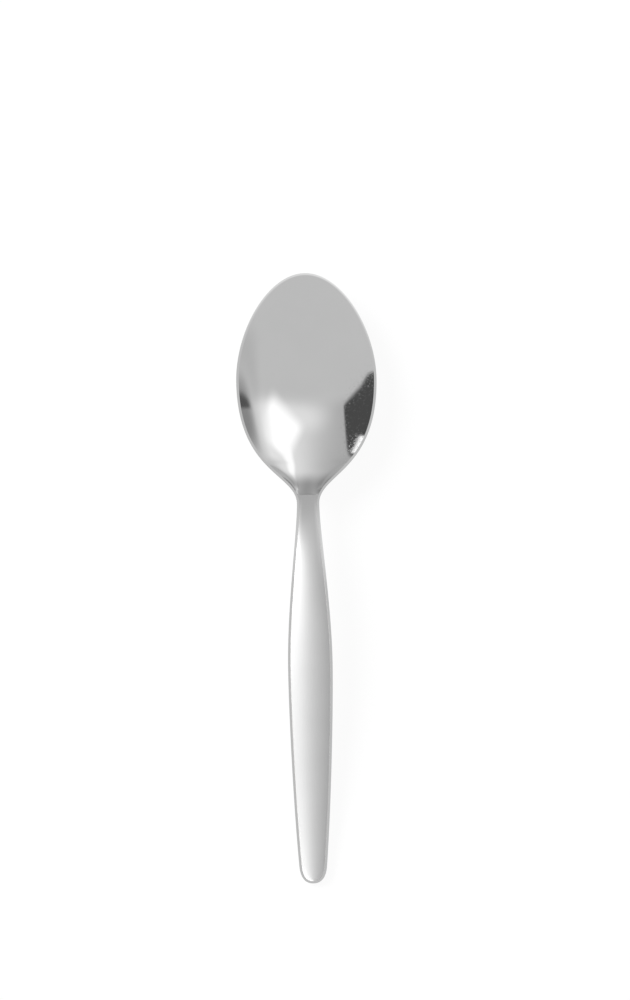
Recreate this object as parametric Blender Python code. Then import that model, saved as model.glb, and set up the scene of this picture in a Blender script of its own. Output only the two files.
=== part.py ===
"""Demitasse spoon, pressed from one blank of stainless steel.

Metres, +Z up. The spoon lies on its back on the plane z = 0 with the bowl towards +Y,
and the origin is on that plane under the middle of the spoon. A station is a distance
along the spoon, counted from the tip of the bowl towards the end of the handle.
"""

import bmesh
import bpy
import numpy as np
from mathutils import Vector
from mathutils.geometry import interpolate_bezier

MM = 0.001

# Plan sizes, seen from above
BOWL_WIDTH = 25.2 * MM
BOWL_FRONT = 19.2 * MM
BOWL_BACK = 22.2 * MM
NECK_WIDTH = 4.0 * MM
HANDLE_FRONT = 29.25 * MM
HANDLE_WIDTH = 8.0 * MM
HANDLE_TAPER = 36.15 * MM
END_WIDTH = 5.0 * MM
END_LENGTH = 3.2 * MM

# Heights of the upper face above the table
TIP_HEIGHT = 6.6 * MM
CREASE_HEIGHT = 7.3 * MM
CROWN_HEIGHT = 7.7 * MM
HANDLE_HOLLOW = 1.0 * MM

# The sheet, and its edge: slightly crowned above, square at the side
BOWL_SHEET = 1.0 * MM
HANDLE_SHEET = 1.6 * MM
RIM_WIDTH = 0.45 * MM
RIM_DROP = 0.06 * MM
RIM_LAND = 0.54 * MM
SIDE_WIDTH = 0.45 * MM
SIDE_DROP = 0.06 * MM
SIDE_LAND = 0.94 * MM
BOWL_TRIM = 0.1 * MM
HANDLE_TRIM = 0.2 * MM

# Places along the spoon
DEEPEST_PAST_WIDEST = 1.0 * MM
CREASE_BEFORE_NECK = 1.5 * MM
CREASE_BOW = 0.3 * MM
RAMP_LENGTH = 6.0 * MM
NECK_LENGTH = 3.0 * MM
HOLLOW_START = 18.0 * MM
CROWN_PAST_NECK = 14.0 * MM
NECK_BLEND = 5.0 * MM

# Slopes of the curves, as rise over run
TIP_SLOPE = 0.65
BOWL_END_SLOPE = 0.62
NECK_SLOPE = 0.02
END_SLOPE = 0.07
END_TAPER_SLOPE = 0.08
LIP_SLOPE = 0.02

# Lengths of the curves' arms, as shares of the span that they shape
TIP_FULLNESS = 0.54
BOWL_FRONT_FULLNESS = 0.46
BOWL_BACK_FULLNESS = 0.745
BOWL_NECK_FULLNESS = 0.24
HANDLE_NECK_FULLNESS = 0.165
HANDLE_FRONT_FULLNESS = 0.38
TAPER_START_FULLNESS = 0.20
TAPER_STOP_FULLNESS = 0.34
SHOULDER_FULLNESS = 0.68
END_FULLNESS = 0.565
EVEN_FULLNESS = 0.33
TIP_WALL_FULLNESS = 0.17
FLOOR_FRONT_FULLNESS = 0.50
FLOOR_BACK_FULLNESS = 0.36
BOWL_END_FULLNESS = 0.40
LIP_END_FULLNESS = 0.07
CROWN_FULLNESS = 0.45
# Share of the bowl's cross-section that eases off towards the lip
LIP_EASE = 0.20
# How flat the ramp from the bowl up to the crease is across its middle
RAMP_POWER = 4

# Mesh counts
END_ROWS = 14
BOWL_ROWS = 20
NECK_ROWS = 4
HANDLE_ROWS = 16
FACE_COLUMNS = 8
EDGE_COLUMNS = 3
CURVE_SAMPLES = 200
MERGE_DISTANCE = 0.001 * MM
SHARP_ANGLE = np.radians(40)
CUTTER_OVERSIZE = 3

# Stations worked out from the lengths above
WIDEST = BOWL_FRONT
DEEPEST = WIDEST + DEEPEST_PAST_WIDEST
NECK = WIDEST + BOWL_BACK
CREASE = NECK - CREASE_BEFORE_NECK
CROWN = NECK + CROWN_PAST_NECK
HANDLE_WIDEST = NECK + HANDLE_FRONT
SHOULDER = HANDLE_WIDEST + HANDLE_TAPER
END = SHOULDER + END_LENGTH

# Heights that bring the sheet's underside just below the table, where it is trimmed flat
FLOOR_HEIGHT = BOWL_SHEET - BOWL_TRIM
END_HEIGHT = HANDLE_SHEET - HANDLE_TRIM

STEEL_COLOUR = (0.62, 0.62, 0.61, 1.0)
STEEL_ROUGHNESS = 0.28


def knot(station, value, arm_in=(0.0, 0.0), arm_out=(0.0, 0.0)):
    """A point of a curve, with the arms that shape it before and after the point."""
    point = Vector((station, value))
    return point, point + Vector(arm_in), point + Vector(arm_out)


def curve_points(knots):
    """Points along the cubic spans between the knots, as rows of (station, value)."""
    points = []
    for (start, _, arm_out), (stop, arm_in, _) in zip(knots, knots[1:]):
        points += interpolate_bezier(start, arm_out, arm_in, stop, CURVE_SAMPLES + 1)[:-1]
    points.append(knots[-1][0])
    return np.array([tuple(point) for point in points])


def read_curve(curve, station):
    """The value of a curve at a station."""
    return np.interp(station, curve[:, 0], curve[:, 1])


def left_of(points):
    """Unit vectors square to a curve, on its left when walking along it."""
    along = np.gradient(points, axis=0)
    along /= np.linalg.norm(along, axis=1, keepdims=True)
    return np.stack([-along[:, 1], along[:, 0]], axis=1)


def smooth_step(value, low, high):
    """0 below low, 1 above high, and an even S between them."""
    share = np.clip((value - low) / (high - low), 0.0, 1.0)
    return share * share * (3 - 2 * share)


def bowl_to_handle(station, bowl_value, handle_value):
    """The bowl's value ahead of the neck and the handle's value past it."""
    handle = smooth_step(station, NECK - NECK_BLEND, NECK)
    return bowl_value + (handle_value - bowl_value) * handle


def outline_knots():
    """Half of the plan outline: an egg-shaped bowl, a narrow neck and a leaf-shaped handle."""
    bowl, neck = BOWL_WIDTH / 2, NECK_WIDTH / 2
    belly, end = HANDLE_WIDTH / 2, END_WIDTH / 2
    taper_arm = TAPER_STOP_FULLNESS * HANDLE_TAPER
    end_arm = SHOULDER_FULLNESS * END_LENGTH
    return [
        knot(0.0, 0.0, arm_out=(0.0, TIP_FULLNESS * bowl)),
        knot(
            WIDEST,
            bowl,
            arm_in=(-BOWL_FRONT_FULLNESS * BOWL_FRONT, 0.0),
            arm_out=(BOWL_BACK_FULLNESS * BOWL_BACK, 0.0),
        ),
        knot(
            NECK,
            neck,
            arm_in=(-BOWL_NECK_FULLNESS * BOWL_BACK, 0.0),
            arm_out=(HANDLE_NECK_FULLNESS * HANDLE_FRONT, 0.0),
        ),
        knot(
            HANDLE_WIDEST,
            belly,
            arm_in=(-HANDLE_FRONT_FULLNESS * HANDLE_FRONT, 0.0),
            arm_out=(TAPER_START_FULLNESS * HANDLE_TAPER, 0.0),
        ),
        knot(
            SHOULDER,
            end,
            arm_in=(-taper_arm, END_TAPER_SLOPE * taper_arm),
            arm_out=(end_arm, -END_TAPER_SLOPE * end_arm),
        ),
        knot(END, 0.0, arm_in=(0.0, END_FULLNESS * end)),
    ]


def middle_knots():
    """The upper face's middle line: bowl floor, crease at the neck, crown and handle end."""
    tip, stop = RIM_WIDTH, END - SIDE_WIDTH
    front, floor, neck, fall = DEEPEST - tip, CREASE - DEEPEST, CROWN - CREASE, stop - CROWN
    tip_arm = TIP_WALL_FULLNESS * front
    wall_arm = BOWL_END_FULLNESS * floor
    neck_arm = EVEN_FULLNESS * neck
    end_arm = EVEN_FULLNESS * fall
    return [
        knot(tip, TIP_HEIGHT, arm_out=(tip_arm, -TIP_SLOPE * tip_arm)),
        knot(
            DEEPEST,
            FLOOR_HEIGHT,
            arm_in=(-FLOOR_FRONT_FULLNESS * front, 0.0),
            arm_out=(FLOOR_BACK_FULLNESS * floor, 0.0),
        ),
        knot(
            CREASE,
            CREASE_HEIGHT,
            arm_in=(-wall_arm, -BOWL_END_SLOPE * wall_arm),
            arm_out=(neck_arm, NECK_SLOPE * neck_arm),
        ),
        knot(
            CROWN,
            CROWN_HEIGHT,
            arm_in=(-CROWN_FULLNESS * neck, 0.0),
            arm_out=(EVEN_FULLNESS * fall, 0.0),
        ),
        knot(stop, END_HEIGHT, arm_in=(-end_arm, END_SLOPE * end_arm)),
    ]


def handle_edge_height(station):
    """The handle's edge: level with the middle at the crease, then higher the wider the face is."""
    width = read_curve(INSET, station) / (HANDLE_WIDTH / 2 - SIDE_WIDTH)
    hollow = HANDLE_HOLLOW * width * smooth_step(station, CREASE, CREASE + HOLLOW_START)
    return read_curve(MIDDLE, station) + hollow


def lip_knots():
    """The bowl's lip seen from the side, from the tip until it runs into the handle's edge."""
    tip_arm = EVEN_FULLNESS * NECK
    neck_arm = LIP_END_FULLNESS * NECK
    neck_rise = handle_edge_height(NECK + neck_arm) - handle_edge_height(NECK)
    return [
        knot(0.0, TIP_HEIGHT, arm_out=(tip_arm, LIP_SLOPE * tip_arm)),
        knot(NECK, handle_edge_height(NECK), arm_in=(-neck_arm, -neck_rise)),
    ]


def inset_outline():
    """The outline moved in by the width of the crowned edge: where the upper face ends."""
    width = bowl_to_handle(OUTLINE[:, :1], RIM_WIDTH, SIDE_WIDTH)
    inset = OUTLINE - left_of(OUTLINE) * width
    inset[[0, -1], 1] = 0.0
    return inset


def under_middle():
    """The underside's middle line, one sheet below the upper one, and its ends at the edge."""
    sheet = BOWL_SHEET + (HANDLE_SHEET - BOWL_SHEET) * smooth_step(MIDDLE[:, :1], DEEPEST, NECK)
    line = MIDDLE - left_of(MIDDLE) * sheet
    tip = (0.0, TIP_HEIGHT - RIM_DROP - RIM_LAND)
    stop = (END, END_HEIGHT - SIDE_DROP - SIDE_LAND)
    return np.vstack([tip, line, stop])


OUTLINE = curve_points(outline_knots())
INSET = inset_outline()
MIDDLE = curve_points(middle_knots())
UNDER = under_middle()
LIP = curve_points(lip_knots())


def edge_height(station):
    """The lip's height along the bowl, and the handle's edge from the neck on."""
    return np.where(station < NECK, read_curve(LIP, station), handle_edge_height(station))


def near_crease(station):
    """1 on the crease, and an even S down to 0 along the ramp before it and the neck past it."""
    ramp = smooth_step(station, CREASE - RAMP_LENGTH, CREASE)
    neck = smooth_step(station, CREASE, CREASE + NECK_LENGTH)
    return ramp - neck


def section(share, station):
    """A cross-section's climb from the middle line, share 0, to the edge, share 1.

    It is round along the bowl and the handle, and flat with steep sides at the crease.
    """
    ease = bowl_to_handle(station, LIP_EASE, 0.0)
    climb = (1 + ease) * share**2 - ease * share**4
    return climb + (share**RAMP_POWER - climb) * near_crease(station)


def share_of(side, curve, station):
    """The distance from the middle line as a share of the half-width at the same station."""
    reach = np.maximum(read_curve(curve, station), np.finfo(float).eps)
    return np.clip(side / reach, 0.0, 1.0)


def upper_height(side, station):
    """Height of the upper face at a distance to the side of the middle line."""
    middle = read_curve(MIDDLE, station)
    climb = section(share_of(side, INSET, station), station)
    return middle + (edge_height(station) - middle) * climb


def under_height(side, station):
    """Height of the underside at a distance to the side of the middle line."""
    middle = read_curve(UNDER, station)
    climb = section(share_of(side, OUTLINE, station), station)
    drop = bowl_to_handle(station, RIM_DROP + RIM_LAND, SIDE_DROP + SIDE_LAND)
    return middle + (edge_height(station) - drop - middle) * climb


def crease_bow(station, share):
    """How far the upper face is drawn towards the tip, so that the crease bows in its middle."""
    return CREASE_BOW * near_crease(station) * (1 - share**2)


def edge_rows():
    """Where each row meets the inset and the outline: (station, half-width) of both.

    Rows are even along the curve round the two ends, and even in station between them,
    with one row on the crease and one on each change of the outline.
    """
    place = np.arange(len(OUTLINE))
    stations = np.concatenate(
        [
            np.linspace(WIDEST, CREASE, BOWL_ROWS, endpoint=False),
            np.linspace(CREASE, NECK, NECK_ROWS, endpoint=False),
            np.linspace(NECK, HANDLE_WIDEST, HANDLE_ROWS, endpoint=False),
            np.linspace(HANDLE_WIDEST, SHOULDER, HANDLE_ROWS, endpoint=False),
        ]
    )
    rows = np.concatenate(
        [
            np.linspace(place[0], CURVE_SAMPLES, END_ROWS, endpoint=False),
            np.interp(stations, INSET[:, 0], place),
            np.linspace(place[-1] - CURVE_SAMPLES, place[-1], END_ROWS + 1),
        ]
    )
    inset, outline = (
        np.stack([np.interp(rows, place, curve[:, i]) for i in (0, 1)], axis=1)
        for curve in (INSET, OUTLINE)
    )
    return inset, outline


def half_section_points():
    """Points of the right half, in closed rows: out along the upper face and the edge, and back.

    Rows lie across the spoon, and fan out at its two round ends.
    """
    inset, outline = edge_rows()
    hub = np.clip(inset[:, :1], WIDEST, SHOULDER)
    share = np.linspace(0.0, 1.0, FACE_COLUMNS + 1)[None, :]

    station = hub + (inset[:, :1] - hub) * share
    side = inset[:, 1:] * share
    height = upper_height(side, station)
    upper = np.stack([side, crease_bow(station, share) - station, height], axis=-1)

    out = np.linspace(0.0, 1.0, EDGE_COLUMNS + 1)[None, 1:]
    drop = bowl_to_handle(inset[:, :1], RIM_DROP, SIDE_DROP)
    station = inset[:, :1] + (outline[:, :1] - inset[:, :1]) * out
    side = inset[:, 1:] + (outline[:, 1:] - inset[:, 1:]) * out
    height = upper[:, -1:, 2] - drop * out**2
    edge = np.stack([side, -station, height], axis=-1)

    share = share[:, ::-1]
    station = hub + (outline[:, :1] - hub) * share
    side = outline[:, 1:] * share
    under = np.stack([side, -station, under_height(side, station)], axis=-1)
    return np.concatenate([upper, edge, under], axis=1)


def stainless_steel():
    material = bpy.data.materials.new("stainless_steel")
    material.use_nodes = True
    shader = material.node_tree.nodes["Principled BSDF"]
    shader.inputs["Base Color"].default_value = STEEL_COLOUR
    shader.inputs["Metallic"].default_value = 1.0
    shader.inputs["Roughness"].default_value = STEEL_ROUGHNESS
    return material


def add_object(name, build):
    """A new object from a finished bmesh."""
    mesh = bpy.data.meshes.new(name)
    build.to_mesh(mesh)
    build.free()
    obj = bpy.data.objects.new(name, mesh)
    bpy.context.scene.collection.objects.link(obj)
    return obj


def table_cutter():
    """A slab under the table plane, which trims the small flats that the spoon rests on."""
    build = bmesh.new()
    bmesh.ops.create_cube(build, size=1.0)
    size = CUTTER_OVERSIZE * Vector((BOWL_WIDTH, END, HANDLE_SHEET))
    bmesh.ops.scale(build, verts=build.verts, vec=size)
    bmesh.ops.translate(build, verts=build.verts, vec=(0.0, 0.0, -size.z / 2))
    cutter = add_object("table_cutter", build)
    cutter.hide_render = True
    cutter.display_type = "WIRE"
    return cutter


def make_spoon():
    """The right half skinned over its rows, mirrored, and trimmed flat where it rests."""
    points = half_section_points()
    rows, columns, _ = points.shape
    build = bmesh.new()
    grid = [[build.verts.new(point) for point in row] for row in points]
    for i in range(rows - 1):
        for j in range(columns - 1):
            build.faces.new((grid[i][j], grid[i + 1][j], grid[i + 1][j + 1], grid[i][j + 1]))
    bmesh.ops.remove_doubles(build, verts=build.verts, dist=MERGE_DISTANCE)
    spoon = add_object("spoon", build)
    spoon.data.materials.append(stainless_steel())
    spoon.data.shade_smooth()
    spoon.data.set_sharp_from_angle(angle=SHARP_ANGLE)

    mirror = spoon.modifiers.new("other_half", "MIRROR")
    mirror.merge_threshold = MERGE_DISTANCE

    trim = spoon.modifiers.new("rest_flats", "BOOLEAN")
    trim.operation = "DIFFERENCE"
    trim.object = table_cutter()
    return spoon


def main():
    for obj in list(bpy.data.objects):
        bpy.data.objects.remove(obj)
    spoon = make_spoon()
    spoon.location.y = END / 2


main()
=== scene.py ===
"""Demitasse spoon in stainless steel, lying on a white table and seen from straight above."""

from types import SimpleNamespace

import bmesh
import bpy
import numpy as np
from mathutils import Euler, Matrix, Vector


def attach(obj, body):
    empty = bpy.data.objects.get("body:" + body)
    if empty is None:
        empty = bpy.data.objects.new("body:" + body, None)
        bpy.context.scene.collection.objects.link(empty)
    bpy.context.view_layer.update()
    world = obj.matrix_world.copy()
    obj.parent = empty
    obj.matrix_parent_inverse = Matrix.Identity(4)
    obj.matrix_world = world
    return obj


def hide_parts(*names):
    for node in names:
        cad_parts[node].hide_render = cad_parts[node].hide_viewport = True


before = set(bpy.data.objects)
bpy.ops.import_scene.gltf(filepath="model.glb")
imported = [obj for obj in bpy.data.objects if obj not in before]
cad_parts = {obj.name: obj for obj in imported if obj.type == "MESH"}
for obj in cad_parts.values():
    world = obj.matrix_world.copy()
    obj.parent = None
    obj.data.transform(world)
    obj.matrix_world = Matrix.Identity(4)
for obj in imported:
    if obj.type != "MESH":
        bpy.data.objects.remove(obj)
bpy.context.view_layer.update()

bl_info = {
    "name": "Demitasse spoon",
    "version": (1, 0, 0),
    "blender": (4, 5, 0),
    "location": "3D View > Sidebar > Spoon",
    "description": "Builds a pressed stainless steel spoon and its white table",
    "category": "Add Mesh",
}

MM = 0.001

# Places along the spoon, from the edge of one form to the next
DEEPEST_PAST_WIDEST = 1.0 * MM
CREASE_BEFORE_NECK = 1.5 * MM
CREASE_BOW = 0.3 * MM
RAMP_LENGTH = 6.0 * MM
NECK_LENGTH = 3.0 * MM
HOLLOW_START = 18.0 * MM
CROWN_PAST_NECK = 14.0 * MM
NECK_BLEND = 5.0 * MM

# The edge of the sheet, slightly crowned above, and the two small flats that it rests on
RIM_WIDTH = 0.45 * MM
RIM_DROP = 0.06 * MM
RIM_LAND = 0.54 * MM
SIDE_WIDTH = 0.45 * MM
SIDE_DROP = 0.06 * MM
SIDE_LAND = 0.94 * MM
BOWL_TRIM = 0.1 * MM
HANDLE_TRIM = 0.2 * MM

# Slopes of the curves, as rise over run
TIP_SLOPE = 0.65
BOWL_END_SLOPE = 0.62
NECK_SLOPE = 0.02
END_SLOPE = 0.07
END_TAPER_SLOPE = 0.08
LIP_SLOPE = 0.02

# Lengths of the curves' arms, as shares of the span that they shape
TIP_FULLNESS = 0.54
BOWL_FRONT_FULLNESS = 0.46
BOWL_BACK_FULLNESS = 0.745
BOWL_NECK_FULLNESS = 0.24
HANDLE_NECK_FULLNESS = 0.165
HANDLE_FRONT_FULLNESS = 0.38
TAPER_START_FULLNESS = 0.20
TAPER_STOP_FULLNESS = 0.34
SHOULDER_FULLNESS = 0.68
END_FULLNESS = 0.565
EVEN_FULLNESS = 0.33
TIP_WALL_FULLNESS = 0.17
FLOOR_FRONT_FULLNESS = 0.50
FLOOR_BACK_FULLNESS = 0.36
BOWL_END_FULLNESS = 0.40
LIP_END_FULLNESS = 0.07
CROWN_FULLNESS = 0.45
# Share of the bowl's cross-section that eases off towards the lip
LIP_EASE = 0.20
# How flat the ramp from the bowl up to the crease is across its middle
RAMP_POWER = 4

# Mesh counts, and how far the closest rows reach to both sides of the crease
SPAN_SAMPLES = 2000
TIP_ROWS = 90
BOWL_ROWS = 80
CREASE_ROWS = 40
NECK_ROWS = 80
TAPER_ROWS = 90
END_ROWS = 40
CREASE_REACH = 1.2 * MM
UPPER_COLUMNS = 36
EDGE_COLUMNS = 8
UNDER_COLUMNS = 22
MERGE_DISTANCE = 0.0005 * MM
SHARP_ANGLE = np.radians(15)


def length(name, description, millimetres):
    """A property that holds a length."""
    return bpy.props.FloatProperty(
        name=name,
        description=description,
        default=millimetres * MM,
        min=0.0,
        precision=5,
        unit="LENGTH",
        subtype="DISTANCE",
    )


def factor(name, description, default):
    """A property that holds a share from 0 to 1."""
    return bpy.props.FloatProperty(
        name=name,
        description=description,
        default=default,
        min=0.0,
        max=1.0,
        subtype="FACTOR",
    )


def linear(hex_colour):
    """An sRGB hex colour as linear red, green and blue."""
    srgb = np.array([int(hex_colour[i : i + 2], 16) for i in (1, 3, 5)]) / 255
    low = srgb / 12.92
    high = ((srgb + 0.055) / 1.055) ** 2.4
    return tuple(float(value) for value in np.where(srgb <= 0.04045, low, high))


def colour(name, description, hex_colour):
    """A property that holds a colour."""
    return bpy.props.FloatVectorProperty(
        name=name,
        description=description,
        default=linear(hex_colour),
        min=0.0,
        max=1.0,
        size=3,
        subtype="COLOR",
    )


class SpoonSizes(bpy.types.PropertyGroup):
    """Sizes of the spoon."""

    bowl_width: length("Bowl width", "Widest place of the bowl", 25.2)
    bowl_front: length("Bowl front", "From the tip to the bowl's widest place", 19.2)
    bowl_back: length("Bowl back", "From the bowl's widest place to the neck", 22.2)
    neck_width: length("Neck width", "Narrowest place of the neck", 4.0)
    handle_front: length("Handle front", "From the neck to the handle's widest place", 29.25)
    handle_width: length("Handle width", "Widest place of the handle", 8.0)
    handle_taper: length("Handle taper", "From there to the shoulder of the end", 36.15)
    end_width: length("End width", "Width where the rounded end starts", 5.0)
    end_length: length("End length", "Length of the rounded end", 3.2)
    tip_height: length("Tip height", "Height of the bowl's tip above the table", 6.6)
    crease_height: length("Crease height", "Height of the crease at the neck", 7.3)
    crown_height: length("Crown height", "Highest place of the handle's middle line", 7.7)
    handle_hollow: length("Handle hollow", "Depth of the handle's hollow face", 1.0)
    bowl_sheet: length("Bowl sheet", "Thickness of the bowl", 1.0)
    handle_sheet: length("Handle sheet", "Thickness of the handle", 1.6)


class SpoonFinish(bpy.types.PropertyGroup):
    """Colours and finish of the spoon and its stage."""

    bowl_steel: colour("Bowl steel", "Colour of the polished steel of the bowl", "#cfcfcf")
    handle_steel: colour("Handle steel", "Colour of the satin steel of the handle", "#c8c8c8")
    bowl_roughness: factor("Bowl roughness", "Roughness of the polished bowl", 0.05)
    handle_roughness: factor("Handle roughness", "Roughness of the satin handle", 0.70)
    table: colour("Table", "Colour of the table", "#f0f0f0")


def knot(station, value, arm_in=(0.0, 0.0), arm_out=(0.0, 0.0)):
    """A point of a curve, with the arms that shape it before and after the point."""
    point = np.array((station, value))
    return point, point + arm_in, point + arm_out


def curve_points(knots):
    """Points along the cubic Bezier spans between the knots, as rows of (station, value)."""
    t = np.linspace(0.0, 1.0, SPAN_SAMPLES, endpoint=False)[:, None]
    spans = [
        (1 - t) ** 3 * start + 3 * (1 - t) ** 2 * t * out + 3 * (1 - t) * t**2 * into + t**3 * stop
        for (start, _, out), (stop, into, _) in zip(knots, knots[1:])
    ]
    return np.vstack([*spans, knots[-1][0]])


def read_curve(curve, station):
    """The value of a curve at a station."""
    return np.interp(station, curve[:, 0], curve[:, 1])


def left_of(points):
    """Unit vectors square to a curve, on its left when walking along it."""
    along = np.gradient(points, axis=0)
    along /= np.linalg.norm(along, axis=1, keepdims=True)
    return np.stack([-along[:, 1], along[:, 0]], axis=1)


def smooth_step(value, low, high):
    """0 below low, 1 above high, and an even S between them."""
    share = np.clip((value - low) / (high - low), 0.0, 1.0)
    return share * share * (3 - 2 * share)


def stations_of(size):
    """Distances from the tip of the bowl to each change of form, summed from the lengths."""
    widest = size.bowl_front
    neck = widest + size.bowl_back
    handle_widest = neck + size.handle_front
    shoulder = handle_widest + size.handle_taper
    return SimpleNamespace(
        widest=widest,
        deepest=widest + DEEPEST_PAST_WIDEST,
        crease=neck - CREASE_BEFORE_NECK,
        neck=neck,
        crown=neck + CROWN_PAST_NECK,
        handle_widest=handle_widest,
        shoulder=shoulder,
        end=shoulder + size.end_length,
    )


class SpoonForm:
    """The spoon as heights over its plan.

    Half of the outline is a Bezier curve h(s) of the station s. The upper face is
    z(s, x) = m(s) + (e(s) - m(s)) * g(x / h(s)), with the middle line m, the edge line e and
    g(v) = (1 + k) * v^2 - k * v^4, which turns into v^4 at the crease. The underside has the
    same form, one sheet lower.
    """

    def __init__(self, size):
        self.size = size
        self.at = stations_of(size)
        self.end_height = size.handle_sheet - HANDLE_TRIM
        self.outline = curve_points(self.outline_knots())
        self.inset = self.inset_outline()
        self.middle = curve_points(self.middle_knots())
        self.under = self.under_middle()
        self.lip = curve_points(self.lip_knots())

    def past_neck(self, station, bowl_value, handle_value):
        """The bowl's value ahead of the neck and the handle's value past it, on an even S."""
        handle = smooth_step(station, self.at.neck - NECK_BLEND, self.at.neck)
        return bowl_value + (handle_value - bowl_value) * handle

    def outline_knots(self):
        """Half of the outline: an egg-shaped bowl, a narrow neck and a leaf-shaped handle."""
        size, at = self.size, self.at
        bowl, neck = size.bowl_width / 2, size.neck_width / 2
        belly, end = size.handle_width / 2, size.end_width / 2
        taper_arm = TAPER_STOP_FULLNESS * size.handle_taper
        end_arm = SHOULDER_FULLNESS * size.end_length
        return [
            knot(0.0, 0.0, arm_out=(0.0, TIP_FULLNESS * bowl)),
            knot(
                at.widest,
                bowl,
                arm_in=(-BOWL_FRONT_FULLNESS * size.bowl_front, 0.0),
                arm_out=(BOWL_BACK_FULLNESS * size.bowl_back, 0.0),
            ),
            knot(
                at.neck,
                neck,
                arm_in=(-BOWL_NECK_FULLNESS * size.bowl_back, 0.0),
                arm_out=(HANDLE_NECK_FULLNESS * size.handle_front, 0.0),
            ),
            knot(
                at.handle_widest,
                belly,
                arm_in=(-HANDLE_FRONT_FULLNESS * size.handle_front, 0.0),
                arm_out=(TAPER_START_FULLNESS * size.handle_taper, 0.0),
            ),
            knot(
                at.shoulder,
                end,
                arm_in=(-taper_arm, END_TAPER_SLOPE * taper_arm),
                arm_out=(end_arm, -END_TAPER_SLOPE * end_arm),
            ),
            knot(at.end, 0.0, arm_in=(0.0, END_FULLNESS * end)),
        ]

    def middle_knots(self):
        """The middle line of the upper face: bowl floor, crease at the neck, crown and end."""
        size, at = self.size, self.at
        tip, stop = RIM_WIDTH, at.end - SIDE_WIDTH
        front, floor = at.deepest - tip, at.crease - at.deepest
        climb, fall = at.crown - at.crease, stop - at.crown
        tip_arm = TIP_WALL_FULLNESS * front
        wall_arm = BOWL_END_FULLNESS * floor
        neck_arm = EVEN_FULLNESS * climb
        end_arm = EVEN_FULLNESS * fall
        return [
            knot(tip, size.tip_height, arm_out=(tip_arm, -TIP_SLOPE * tip_arm)),
            knot(
                at.deepest,
                size.bowl_sheet - BOWL_TRIM,
                arm_in=(-FLOOR_FRONT_FULLNESS * front, 0.0),
                arm_out=(FLOOR_BACK_FULLNESS * floor, 0.0),
            ),
            knot(
                at.crease,
                size.crease_height,
                arm_in=(-wall_arm, -BOWL_END_SLOPE * wall_arm),
                arm_out=(neck_arm, NECK_SLOPE * neck_arm),
            ),
            knot(
                at.crown,
                size.crown_height,
                arm_in=(-CROWN_FULLNESS * climb, 0.0),
                arm_out=(EVEN_FULLNESS * fall, 0.0),
            ),
            knot(stop, self.end_height, arm_in=(-end_arm, END_SLOPE * end_arm)),
        ]

    def handle_edge(self, station):
        """The handle's edge: level with the middle at the crease, then higher the wider the face is."""
        width = read_curve(self.inset, station) / (self.size.handle_width / 2 - SIDE_WIDTH)
        start = smooth_step(station, self.at.crease, self.at.crease + HOLLOW_START)
        return read_curve(self.middle, station) + self.size.handle_hollow * width * start

    def lip_knots(self):
        """The bowl's lip seen from the side, from the tip until it runs into the handle's edge."""
        neck = self.at.neck
        tip_arm = EVEN_FULLNESS * neck
        neck_arm = LIP_END_FULLNESS * neck
        neck_rise = self.handle_edge(neck + neck_arm) - self.handle_edge(neck)
        return [
            knot(0.0, self.size.tip_height, arm_out=(tip_arm, LIP_SLOPE * tip_arm)),
            knot(neck, self.handle_edge(neck), arm_in=(-neck_arm, -neck_rise)),
        ]

    def inset_outline(self):
        """The outline moved in by the width of the crowned edge: where the upper face ends."""
        width = self.past_neck(self.outline[:, :1], RIM_WIDTH, SIDE_WIDTH)
        inset = self.outline - left_of(self.outline) * width
        inset[[0, -1], 1] = 0.0
        return inset

    def under_middle(self):
        """The underside's middle line, one sheet below the upper one, and its ends at the edge."""
        size, at = self.size, self.at
        thicker = smooth_step(self.middle[:, :1], at.deepest, at.neck)
        sheet = size.bowl_sheet + (size.handle_sheet - size.bowl_sheet) * thicker
        line = self.middle - left_of(self.middle) * sheet
        tip = (0.0, size.tip_height - RIM_DROP - RIM_LAND)
        stop = (at.end, self.end_height - SIDE_DROP - SIDE_LAND)
        return np.vstack([tip, line, stop])

    def edge_height(self, station):
        """The lip's height along the bowl, and the handle's edge from the neck on."""
        bowl = station < self.at.neck
        return np.where(bowl, read_curve(self.lip, station), self.handle_edge(station))

    def near_crease(self, station):
        """1 on the crease, and an even S down to 0 along the ramp before it and the neck past it."""
        crease = self.at.crease
        ramp = smooth_step(station, crease - RAMP_LENGTH, crease)
        neck = smooth_step(station, crease, crease + NECK_LENGTH)
        return ramp - neck

    def climb(self, side, curve, station):
        """g of the distance from the middle as a share of the half-width: 0 there, 1 at the edge."""
        reach = np.maximum(read_curve(curve, station), np.finfo(float).eps)
        share = np.clip(side / reach, 0.0, 1.0)
        ease = self.past_neck(station, LIP_EASE, 0.0)
        climb = (1 + ease) * share**2 - ease * share**4
        return climb + (share**RAMP_POWER - climb) * self.near_crease(station)

    def upper_height(self, side, station):
        """Height of the upper face."""
        middle = read_curve(self.middle, station)
        return middle + (self.edge_height(station) - middle) * self.climb(side, self.inset, station)

    def under_height(self, side, station):
        """Height of the underside, cut flat where it rests on the table."""
        middle = read_curve(self.under, station)
        drop = self.past_neck(station, RIM_DROP + RIM_LAND, SIDE_DROP + SIDE_LAND)
        edge = self.edge_height(station) - drop
        return np.maximum(middle + (edge - middle) * self.climb(side, self.outline, station), 0.0)

    def crease_bow(self, station, share):
        """How far the upper face is drawn towards the tip, so that the crease bows in its middle."""
        return CREASE_BOW * self.near_crease(station) * (1 - share**2)

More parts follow.
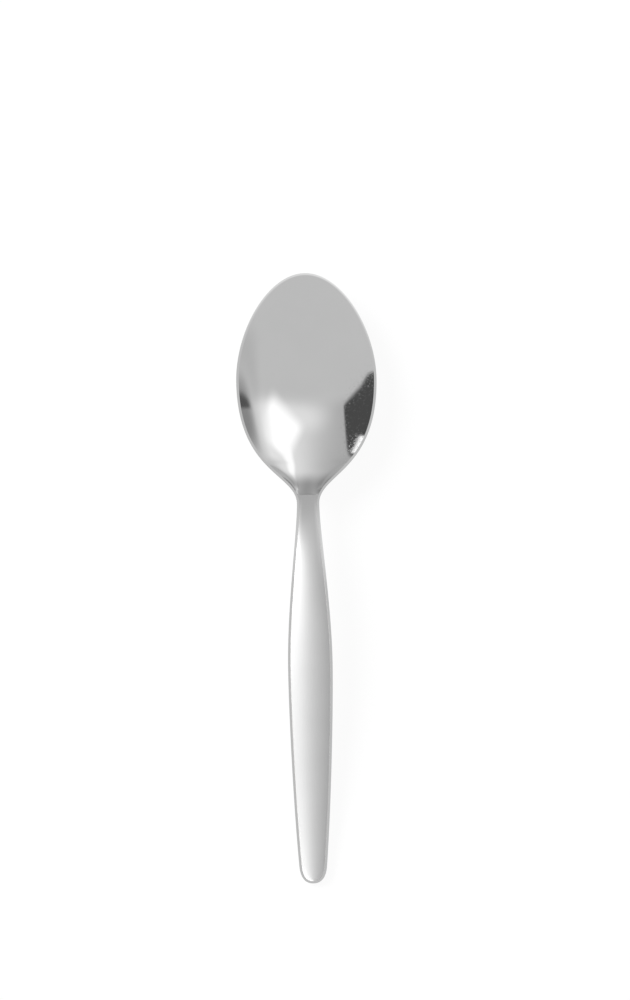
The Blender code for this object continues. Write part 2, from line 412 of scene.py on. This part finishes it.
    def edge_rows(self):
        """Where each row meets the inset and the outline: (station, half-width) of both.

        Rows are even along the curve round the two ends, even in station between them, and
        closest at the crease.
        """
        at = self.at
        place = np.arange(len(self.outline))
        marks = [
            (at.widest, at.crease - CREASE_REACH, BOWL_ROWS),
            (at.crease - CREASE_REACH, at.crease + CREASE_REACH, CREASE_ROWS),
            (at.crease + CREASE_REACH, at.handle_widest, NECK_ROWS),
            (at.handle_widest, at.shoulder, TAPER_ROWS),
        ]
        stations = np.concatenate(
            [np.linspace(start, stop, count, endpoint=False) for start, stop, count in marks]
        )
        rows = np.concatenate(
            [
                np.linspace(place[0], SPAN_SAMPLES, TIP_ROWS, endpoint=False),
                np.interp(stations, self.inset[:, 0], place),
                np.linspace(place[-1] - SPAN_SAMPLES, place[-1], END_ROWS + 1),
            ]
        )
        inset, outline = (
            np.stack([np.interp(rows, place, curve[:, i]) for i in (0, 1)], axis=1)
            for curve in (self.inset, self.outline)
        )
        return inset, outline

    def half_section(self):
        """Rows of the right half: out along the upper face and the edge, and back below.

        Each row is a function of a share across it. Rows lie across the spoon, and fan out
        from a hub at its two round ends. The edge is a parabola and a short land.
        """
        at = self.at
        inset, outline = self.edge_rows()
        hub = np.clip(inset[:, :1], at.widest, at.shoulder)

        share = np.linspace(0.0, 1.0, UPPER_COLUMNS + 1)[None, :]
        station = hub + (inset[:, :1] - hub) * share
        side = inset[:, 1:] * share
        height = self.upper_height(side, station)
        upper = np.stack([side, self.crease_bow(station, share) - station, height], axis=-1)

        out = np.linspace(0.0, 1.0, EDGE_COLUMNS + 1)[None, 1:]
        drop = self.past_neck(inset[:, :1], RIM_DROP, SIDE_DROP)
        station = inset[:, :1] + (outline[:, :1] - inset[:, :1]) * out
        side = inset[:, 1:] + (outline[:, 1:] - inset[:, 1:]) * out
        edge = np.stack([side, -station, height[:, -1:] - drop * out**2], axis=-1)

        share = np.linspace(1.0, 0.0, UNDER_COLUMNS + 1)[None, :]
        station = hub + (outline[:, :1] - hub) * share
        side = outline[:, 1:] * share
        under = np.stack([side, -station, self.under_height(side, station)], axis=-1)
        return np.concatenate([upper, edge, under], axis=1)


def whole_rings(half):
    """Rows closed into rings: the right half, then its mirror image read backwards."""
    other = half[:, -2:0:-1] * (-1.0, 1.0, 1.0)
    return np.concatenate([half, other], axis=1)


def ring_faces(rows, columns):
    """Four corners of every face between two neighbouring rings."""
    here = np.arange(rows * columns).reshape(rows, columns)
    beside = np.roll(here, -1, axis=1)
    corners = [here[:-1], here[1:], beside[1:], beside[:-1]]
    return np.stack(corners, axis=-1).reshape(-1, 4)


def add_piece(name, points, faces, material):
    """A new object at the origin, with doubles merged and its faces turned outwards."""
    mesh = bpy.data.meshes.new(name)
    mesh.from_pydata(points.tolist(), [], faces.tolist())
    build = bmesh.new()
    build.from_mesh(mesh)
    bmesh.ops.remove_doubles(build, verts=build.verts, dist=MERGE_DISTANCE)
    bmesh.ops.recalc_face_normals(build, faces=build.faces)
    build.to_mesh(mesh)
    build.free()
    mesh.shade_smooth()
    mesh.set_sharp_from_angle(angle=SHARP_ANGLE)
    mesh.materials.append(material)
    piece = bpy.data.objects.new(name, mesh)
    bpy.context.scene.collection.objects.link(piece)
    return piece


def vertex_positions(mesh):
    """The places of a mesh's vertices, as rows of x, y and z."""
    positions = np.empty(len(mesh.vertices) * 3, dtype=np.float32)
    mesh.vertices.foreach_get("co", positions)
    return positions.reshape(-1, 3)


def add_node(tree, kind, links=(), **settings):
    """A node with its settings and links: each link is an input and a value or an output."""
    node = tree.nodes.new(kind)
    for name, value in settings.items():
        setattr(node, name, value)
    for name, value in links:
        if isinstance(value, bpy.types.NodeSocket):
            tree.links.new(value, node.inputs[name])
        else:
            node.inputs[name].default_value = value
    return node


def new_material(name):
    """An empty node material and its tree."""
    material = bpy.data.materials.new(name)
    material.use_nodes = True
    material.node_tree.nodes.clear()
    return material, material.node_tree


# Fine lines in the steel: their length and their spacing. The real ones are some hundredths
# of a millimetre apart, and are drawn coarser so that they show in the picture.
BOWL_LINES = (0.9 * MM, 0.25 * MM)
HANDLE_LINES = (14.0 * MM, 0.25 * MM)
LINE_DETAIL = 2.0
LINE_RELIEF = 0.02 * MM
# How much of that relief the polished bowl and the tumbled handle keep
BOWL_DEPTH = 0.02
HANDLE_DEPTH = 0.35
# Tiny scuffs from stirring, on the right wall of the bowl: where they begin and are full, which
# of the lines are scuffed, from slightly to fully, and how rough they are
WORN = "worn"
WORN_FROM = (1.0 * MM, 7.0 * MM)
SCUFF_LINES = (0.55, 0.70)
SCUFF_ROUGHNESS = 0.20
# Faint clouds in the tone of the steel
CLOUD_SIZE = 6.0 * MM
CLOUD_DETAIL = 3.0
CLOUD_SPREAD = (0.3, 0.7)
CLOUD_TONE = (0.99, 1.01)
# The satin of the handle's face: it starts at the crease and is full after this length
SATIN = "satin"
SATIN_LENGTH = 16.0 * MM
SATIN_START = 0.35
POLISH_END = 0.2 * MM
EDGE_SOFTNESS = 0.1 * MM
# Painted shade: the steel's colour is darker in the corner at the crease and along the neck, standing
# in for the dark reflection there. Up the ramp this takes in the middle, then the whole width, and it
# fades along the neck.
PAINTED_SHADE = "painted_shade"
PAINTED_SHADE_TONE = 0.54
PAINTED_SHADE_WIDTH = 0.6
PAINTED_SHADE_RAMP = (4.4 * MM, 1.8 * MM)
PAINTED_SHADE_CORNER = (1.8 * MM, 0.8 * MM)
PAINTED_SHADE_CORNER_END = 4.0 * MM
PAINTED_SHADE_NECK = 0.41
PAINTED_SHADE_NECK_LENGTH = 24.0 * MM


def pressed_steel(finish):
    """Stainless steel, pressed, then polished across in the bowl and tumbled on the handle.

    The bowl mirrors the room with a slight blur and has fine lines across it. The handle is
    satin: it only catches soft gradients, with faint lines along it. Its edge is polished.
    The bowl's right wall is lightly scuffed, and painted shade darkens the corner at the crease and the
    neck.
    """
    material, tree = new_material("pressed_stainless_steel")
    place = add_node(tree, "ShaderNodeTexCoord").outputs["Object"]
    satin, painted_shade, worn = (
        add_node(tree, "ShaderNodeAttribute", attribute_name=name).outputs["Fac"]
        for name in (SATIN, PAINTED_SHADE, WORN)
    )

    across = (1 / BOWL_LINES[0], 1 / BOWL_LINES[1], 1 / BOWL_LINES[1])
    along = (1 / HANDLE_LINES[1], 1 / HANDLE_LINES[0], 1 / HANDLE_LINES[1])
    lines = []
    for scale in (across, along):
        vector = add_node(tree, "ShaderNodeMapping", [("Vector", place), ("Scale", scale)])
        noise = add_node(
            tree,
            "ShaderNodeTexNoise",
            [("Vector", vector.outputs[0]), ("Scale", 1.0), ("Detail", LINE_DETAIL)],
        )
        lines.append(noise.outputs["Fac"])
    line = add_node(
        tree, "ShaderNodeMix", [("Factor", satin), ("A", lines[0]), ("B", lines[1])]
    ).outputs["Result"]

    scuff = add_node(
        tree,
        "ShaderNodeMix",
        [("Factor", worn), ("A", finish.bowl_roughness), ("B", SCUFF_ROUGHNESS)],
    ).outputs["Result"]
    scuffed = add_node(
        tree,
        "ShaderNodeMapRange",
        [
            ("Value", lines[0]),
            ("From Min", SCUFF_LINES[0]),
            ("From Max", SCUFF_LINES[1]),
            ("To Min", finish.bowl_roughness),
            ("To Max", scuff),
        ],
    ).outputs["Result"]
    roughness = add_node(
        tree,
        "ShaderNodeMix",
        [("Factor", satin), ("A", scuffed), ("B", finish.handle_roughness)],
    ).outputs["Result"]

    handle = add_node(
        tree, "ShaderNodeMapRange", [("Value", satin), ("From Max", SATIN_START)]
    ).outputs["Result"]
    steel = add_node(
        tree,
        "ShaderNodeMix",
        [
            ("Factor", handle),
            ("A", (*finish.bowl_steel, 1.0)),
            ("B", (*finish.handle_steel, 1.0)),
        ],
        data_type="RGBA",
    ).outputs["Result"]
    cloud = add_node(
        tree,
        "ShaderNodeTexNoise",
        [("Vector", place), ("Scale", 1 / CLOUD_SIZE), ("Detail", CLOUD_DETAIL)],
    ).outputs["Fac"]
    tone = add_node(
        tree,
        "ShaderNodeMapRange",
        [
            ("Value", cloud),
            ("From Min", CLOUD_SPREAD[0]),
            ("From Max", CLOUD_SPREAD[1]),
            ("To Min", CLOUD_TONE[0]),
            ("To Max", CLOUD_TONE[1]),
        ],
    ).outputs["Result"]
    # Painted shade: the colour is darkened by the painted-shade attribute in the crease's corner and
    # along the neck.
    shade = add_node(
        tree, "ShaderNodeMapRange", [("Value", painted_shade), ("To Min", 1.0), ("To Max", PAINTED_SHADE_TONE)]
    ).outputs["Result"]
    tone = add_node(tree, "ShaderNodeMath", [(0, tone), (1, shade)], operation="MULTIPLY").outputs[0]
    tint = add_node(
        tree, "ShaderNodeVectorMath", [(0, steel), ("Scale", tone)], operation="SCALE"
    ).outputs[0]

    depth = add_node(
        tree, "ShaderNodeMix", [("Factor", satin), ("A", BOWL_DEPTH), ("B", HANDLE_DEPTH)]
    ).outputs["Result"]
    bump = add_node(
        tree,
        "ShaderNodeBump",
        [("Height", line), ("Strength", depth), ("Distance", LINE_RELIEF)],
    ).outputs["Normal"]
    shader = add_node(
        tree,
        "ShaderNodeBsdfPrincipled",
        [("Base Color", tint), ("Metallic", 1.0), ("Roughness", roughness), ("Normal", bump)],
    )
    add_node(tree, "ShaderNodeOutputMaterial", [("Surface", shader.outputs[0])])
    return material


def add_attribute(mesh, name, values):
    """A number at every vertex, for the material to read."""
    attribute = mesh.attributes.new(name, "FLOAT", "POINT")
    attribute.data.foreach_set("value", values.astype(np.float32))


class SPOON_OT_pressed_spoon(bpy.types.Operator):
    """Build the spoon as one smooth surface and let it stand for the CAD spoon"""

    bl_idname = "spoon.pressed_spoon"
    bl_label = "Pressed spoon"

    def execute(self, context):
        scene = context.scene
        form = SpoonForm(scene.spoon_sizes)
        rings = whole_rings(form.half_section())
        rings[..., 1] += form.at.end / 2
        rows, columns, _ = rings.shape
        material = pressed_steel(scene.spoon_finish)
        faces = ring_faces(rows, columns)
        spoon = add_piece("pressed_spoon", rings.reshape(-1, 3), faces, material)

        side, y, height = vertex_positions(spoon.data).T
        station = form.at.end / 2 - y
        crease = form.at.crease
        face_width = read_curve(form.inset, station)
        past_face = np.maximum(np.abs(side) - face_width, station - form.inset[-1, 0])
        face = 1 - smooth_step(past_face, 0.0, EDGE_SOFTNESS)
        share = np.abs(side) / np.maximum(face_width, EDGE_SOFTNESS)
        handle = smooth_step(station, crease - POLISH_END, crease)

        satin = SATIN_START + (1 - SATIN_START) * smooth_step(station, crease, crease + SATIN_LENGTH)
        add_attribute(spoon.data, SATIN, satin * handle * face)

        # Painted shade: how much darker the colour is painted, up the ramp to the crease and along the
        # neck.
        upper = height > read_curve(form.middle, station) - form.size.bowl_sheet / 2
        ramp = smooth_step(station, crease - PAINTED_SHADE_RAMP[0], crease - PAINTED_SHADE_RAMP[1])
        neck = PAINTED_SHADE_NECK * (1 - smooth_step(station, crease, crease + PAINTED_SHADE_NECK_LENGTH))
        painted_shade = ramp * (1 - handle) + neck * handle
        into_corner = smooth_step(station, crease - PAINTED_SHADE_CORNER[0], crease - PAINTED_SHADE_CORNER[1])
        past_corner = smooth_step(station, crease, crease + PAINTED_SHADE_CORNER_END)
        middle = 1 - smooth_step(share, PAINTED_SHADE_WIDTH, 1.0)
        width = face * np.maximum(middle, into_corner * (1 - past_corner))
        add_attribute(spoon.data, PAINTED_SHADE, painted_shade * width * upper)
        add_attribute(spoon.data, WORN, smooth_step(side, *WORN_FROM) * upper)

        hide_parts("spoon")
        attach(spoon, "root")
        return {"FINISHED"}


def edge(angle, offset, soft):
    """One straight edge of a card: it lies offset from the middle towards angle, in degrees.

    The card is on the far side of the edge, and soft is half the width of its S.
    """
    return np.radians(angle), offset, soft


# What the steel mirrors: an even grey ceiling, and cards with soft straight edges hung over the
# table. Places are on the plane q = (x, y) / (depth + z) of a direction (x, y, z).
PLANE_DEPTH = 1.02
CEILING_LIGHT = 0.79
# Each card's light and edges
CARDS = [
    # The back of the bowl and the glow across it
    (0.62, [edge(90, 0.10, 0.047)]),
    (1.20, [edge(90, 0.10, 0.047), edge(0, -0.107, 0.68)]),
    (1.14, [edge(90, 0.105, 0.082), edge(-90, -0.257, 0.082), edge(0, -0.235, 0.32)]),
    # The bright patch in front of the neck, and its tail
    (
        1.70,
        [
            edge(70, 0.255, 0.07),
            edge(127, -0.28, 0.05),
            edge(180, -0.64, 0.09),
            edge(240, -0.70, 0.06),
            edge(-53, -0.13, 0.08),
        ],
    ),
    (
        1.60,
        [
            edge(0, 0.34, 0.05),
            edge(180, -0.50, 0.05),
            edge(90, 0.38, 0.05),
            edge(-90, -0.57, 0.03),
        ],
    ),
    # The walls beside the neck
    (0.52, [edge(114, 0.43, 0.025), edge(0, 0.25, 0.05)]),
    (0.51, [edge(90, 0.66, 0.116)]),
    # The left wall, in steps out to the rim
    (0.60, [edge(0, 0.715, 0.07), edge(-90, -0.12, 0.05)]),
    (0.80, [edge(5, 0.737, 0.05)]),
    (0.36, [edge(5, 0.765, 0.022)]),
    # The dark wedge in the right wall, and the bright sliver beside it
    (0.10, [edge(118.3, 0.392, 0.02), edge(193, 0.550, 0.012), edge(-90, -0.62, 0.015)]),
    (0.10, [edge(164, 0.727, 0.008), edge(90, -0.02, 0.015), edge(-90, -0.25, 0.05)]),
    (2.00, [edge(168.2, 0.8055, 0.004), edge(90, 0.376, 0.015), edge(-90, -0.558, 0.015)]),
    # The dark spot in the left wall
    (
        0.12,
        [
            edge(25.4, 0.734, 0.012),
            edge(0, 0.758, 0.010),
            edge(90, 0.06, 0.025),
            edge(-90, -0.155, 0.015),
        ],
    ),
]
# The room's light on matt surfaces
ROOM_LIGHT = 0.5


def card_mask(tree, place, edges):
    """1 on a card, 0 off it: the product of the even S across each of its edges."""
    mask = None
    for angle, offset, soft in edges:
        towards = (np.cos(angle), np.sin(angle), 0.0)
        reach = add_node(
            tree, "ShaderNodeVectorMath", [(0, place), (1, towards)], operation="DOT_PRODUCT"
        ).outputs["Value"]
        inside = add_node(
            tree,
            "ShaderNodeMapRange",
            [("Value", reach), ("From Min", offset - soft), ("From Max", offset + soft)],
            interpolation_type="SMOOTHSTEP",
        ).outputs["Result"]
        if mask is None:
            mask = inside
        else:
            links = [(0, mask), (1, inside)]
            mask = add_node(tree, "ShaderNodeMath", links, operation="MULTIPLY").outputs[0]
    return mask


def studio_world():
    """White for the camera, the cards for what the steel mirrors, and an even room for the rest."""
    world = bpy.data.worlds.new("studio")
    world.use_nodes = True
    tree = world.node_tree
    tree.nodes.clear()

    direction = add_node(tree, "ShaderNodeTexCoord").outputs["Generated"]
    height = add_node(tree, "ShaderNodeSeparateXYZ", [("Vector", direction)]).outputs["Z"]
    links = [(0, height), (1, PLANE_DEPTH)]
    above = add_node(tree, "ShaderNodeMath", links, operation="ADD").outputs[0]
    flat = add_node(tree, "ShaderNodeMath", [(0, 1.0), (1, above)], operation="DIVIDE").outputs[0]
    place = add_node(
        tree, "ShaderNodeVectorMath", [(0, direction), ("Scale", flat)], operation="SCALE"
    ).outputs[0]

    light = CEILING_LIGHT
    for card_light, edges in CARDS:
        mask = card_mask(tree, place, edges)
        links = [("Factor", mask), ("A", light), ("B", card_light)]
        light = add_node(tree, "ShaderNodeMix", links).outputs["Result"]

    path = add_node(tree, "ShaderNodeLightPath").outputs
    links = [("Factor", path["Is Glossy Ray"]), ("A", ROOM_LIGHT), ("B", light)]
    light = add_node(tree, "ShaderNodeMix", links).outputs["Result"]
    for ray in ("Is Camera Ray", "Is Transmission Ray"):
        links = [("Factor", path[ray]), ("A", light), ("B", 1.0)]
        light = add_node(tree, "ShaderNodeMix", links).outputs["Result"]

    background = add_node(
        tree, "ShaderNodeBackground", [("Color", (1.0, 1.0, 1.0, 1.0)), ("Strength", light)]
    )
    add_node(tree, "ShaderNodeOutputWorld", [("Surface", background.outputs[0])])
    return world


# The table: its side in metres, how much of its shadow shows, and the light of its white
TABLE_SIZE = 6.0
TABLE_SHADE = 0.10
TABLE_WHITE = 1.02


def table_surface(finish):
    """Matt white laminate: even white to the eye, with a faint shadow under the spoon."""
    material, tree = new_material("matt_white_laminate")
    matt = add_node(tree, "ShaderNodeBsdfDiffuse", [("Color", (*finish.table, 1.0))])
    white = add_node(tree, "ShaderNodeEmission", [("Strength", TABLE_WHITE)])
    path = add_node(tree, "ShaderNodeLightPath").outputs
    seen = path["Is Camera Ray"]
    for ray in ("Is Glossy Ray", "Is Transmission Ray"):
        links = [(0, seen), (1, path[ray])]
        seen = add_node(tree, "ShaderNodeMath", links, operation="MAXIMUM").outputs[0]
    share = add_node(
        tree, "ShaderNodeMath", [(0, seen), (1, 1 - TABLE_SHADE)], operation="MULTIPLY"
    ).outputs[0]
    both = add_node(
        tree,
        "ShaderNodeMixShader",
        [("Fac", share), (1, matt.outputs[0]), (2, white.outputs[0])],
    )
    add_node(tree, "ShaderNodeOutputMaterial", [("Surface", both.outputs[0])])
    return material


# The window gives the table its faint shadow
WINDOW_STRENGTH = 3.0
WINDOW_SIZE = np.radians(34)
WINDOW_TURN = (0.0, np.radians(-48), np.radians(-37))

# The soft box lights the steel of the handle from a metre away. Its beam ends at the neck.
BEAM_POWER = 56.5
BEAM_WIDTH = np.radians(4.16)
BEAM_TURN = (0.0, np.radians(60), np.radians(30))
BEAM_TARGET = (0.0, -26.0 * MM, 6.0 * MM)
BEAM_LENGTH = 1000 * MM
BEAM_BLEND = 0.2
BEAM_SOURCE = 1.0 * MM

# The camera looks straight down, and its picture is this high at the focus height
LENS = 180.0
SENSOR = 36.0
PICTURE_HEIGHT = 179.90 * MM
FOCUS_HEIGHT = 5.0 * MM
CAMERA_PLACE = (1.25 * MM, 14.24 * MM)
CAMERA_TURN = np.radians(-0.807)


def add_lamp(name, kind, strength, turn):
    """A lamp of one kind, strength and turn."""
    lamp = bpy.data.objects.new(name, bpy.data.lights.new(name, kind))
    lamp.data.energy = strength
    lamp.rotation_euler = turn
    bpy.context.scene.collection.objects.link(lamp)
    return lamp


class SPOON_OT_stage(bpy.types.Operator):
    """Build the white table, the studio light and the camera"""

    bl_idname = "spoon.stage"
    bl_label = "Table, light and camera"

    def execute(self, context):
        scene = context.scene
        half = TABLE_SIZE / 2
        corners = np.array([(-half, -half, 0), (half, -half, 0), (half, half, 0), (-half, half, 0)])
        table = bpy.data.objects.new("table", bpy.data.meshes.new("table"))
        table.data.from_pydata(corners.tolist(), [], [(0, 1, 2, 3)])
        table.data.materials.append(table_surface(scene.spoon_finish))
        scene.collection.objects.link(table)

        scene.world = studio_world()

        window = add_lamp("window", "SUN", WINDOW_STRENGTH, WINDOW_TURN)
        window.data.angle = WINDOW_SIZE
        window.visible_glossy = False

        soft_box = add_lamp("soft_box", "SPOT", BEAM_POWER, BEAM_TURN)
        soft_box.data.spot_size = BEAM_WIDTH
        soft_box.data.spot_blend = BEAM_BLEND
        soft_box.data.shadow_soft_size = BEAM_SOURCE
        back = Euler(BEAM_TURN).to_matrix() @ Vector((0.0, 0.0, BEAM_LENGTH))
        soft_box.location = Vector(BEAM_TARGET) + back
        soft_box.visible_diffuse = False

        camera = bpy.data.objects.new("camera", bpy.data.cameras.new("camera"))
        camera.data.lens = LENS
        camera.data.sensor_width = SENSOR
        camera.location = (*CAMERA_PLACE, FOCUS_HEIGHT + PICTURE_HEIGHT * LENS / SENSOR)
        camera.rotation_euler.z = CAMERA_TURN
        scene.collection.objects.link(camera)
        scene.camera = camera
        scene.view_settings.view_transform = "Standard"
        return {"FINISHED"}


class SPOON_PT_panel(bpy.types.Panel):
    """The spoon's sizes, finish and steps"""

    bl_idname = "SPOON_PT_panel"
    bl_label = "Spoon"
    bl_space_type = "VIEW_3D"
    bl_region_type = "UI"
    bl_category = "Spoon"

    def draw(self, context):
        for group in (context.scene.spoon_sizes, context.scene.spoon_finish):
            box = self.layout.box()
            for name in group.__annotations__:
                box.prop(group, name)
        for operator in (SPOON_OT_pressed_spoon, SPOON_OT_stage):
            self.layout.operator(operator.bl_idname)


CLASSES = (SpoonSizes, SpoonFinish, SPOON_OT_pressed_spoon, SPOON_OT_stage, SPOON_PT_panel)


def register():
    """Make the classes and the scene's settings known."""
    for cls in CLASSES:
        bpy.utils.register_class(cls)
    bpy.types.Scene.spoon_sizes = bpy.props.PointerProperty(type=SpoonSizes)
    bpy.types.Scene.spoon_finish = bpy.props.PointerProperty(type=SpoonFinish)


def unregister():
    """Take the settings and the classes away again."""
    del bpy.types.Scene.spoon_finish
    del bpy.types.Scene.spoon_sizes
    for cls in reversed(CLASSES):
        bpy.utils.unregister_class(cls)


def main():
    """Build the spoon and its stage."""
    register()
    bpy.ops.spoon.pressed_spoon()
    bpy.ops.spoon.stage()


if __name__ == "__main__":
    main()
